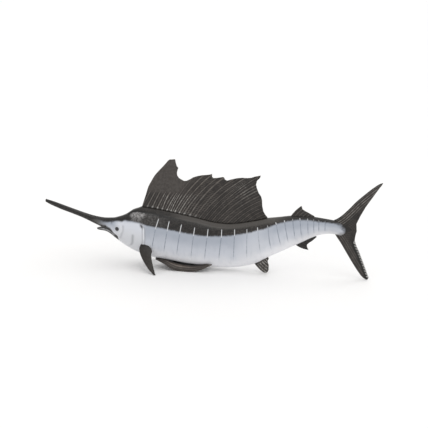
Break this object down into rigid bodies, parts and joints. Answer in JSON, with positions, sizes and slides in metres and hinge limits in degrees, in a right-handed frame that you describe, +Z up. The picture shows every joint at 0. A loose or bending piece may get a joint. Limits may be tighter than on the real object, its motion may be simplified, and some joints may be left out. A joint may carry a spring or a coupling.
{
  "type": "sailfish figurine",
  "caption": "Moulded plastic sailfish figurine with a raised sail and forked tail, standing on its fins.",
  "frame": {"origin": "on the surface it stands on, at the middle of its length and width", "axes": "+X from bill to tail, +Y to the fish's right, +Z up"},
  "size_m": [0.2026, 0.0346, 0.0666],
  "materials": {
    "charcoal_plastic": "satin moulded PVC, dark brown-black, a little worn and paler on the fin rays",
    "painted_body": "satin moulded PVC, charcoal back sprayed over pearly silver-blue flanks and a paler belly",
    "eye_gloss": "glossy black painted pupil in a pale silver iris"
  },
  "bodies": {
    "root": {"bill": "charcoal_plastic", "lower_jaw": "painted_body", "head": "painted_body", "trunk": "painted_body", "tail_stalk": "painted_body", "sail": "charcoal_plastic", "second_dorsal_fin": "charcoal_plastic", "first_anal_fin": "charcoal_plastic", "second_anal_fin": "charcoal_plastic", "caudal_fin_upper": "charcoal_plastic", "caudal_fin_lower": "charcoal_plastic", "pectoral_fin_left": "charcoal_plastic", "pectoral_fin_right": "charcoal_plastic", "pelvic_fin_left": "charcoal_plastic", "pelvic_fin_right": "charcoal_plastic", "eye_left": "eye_gloss", "eye_right": "eye_gloss"}
  },
  "joints": []
}
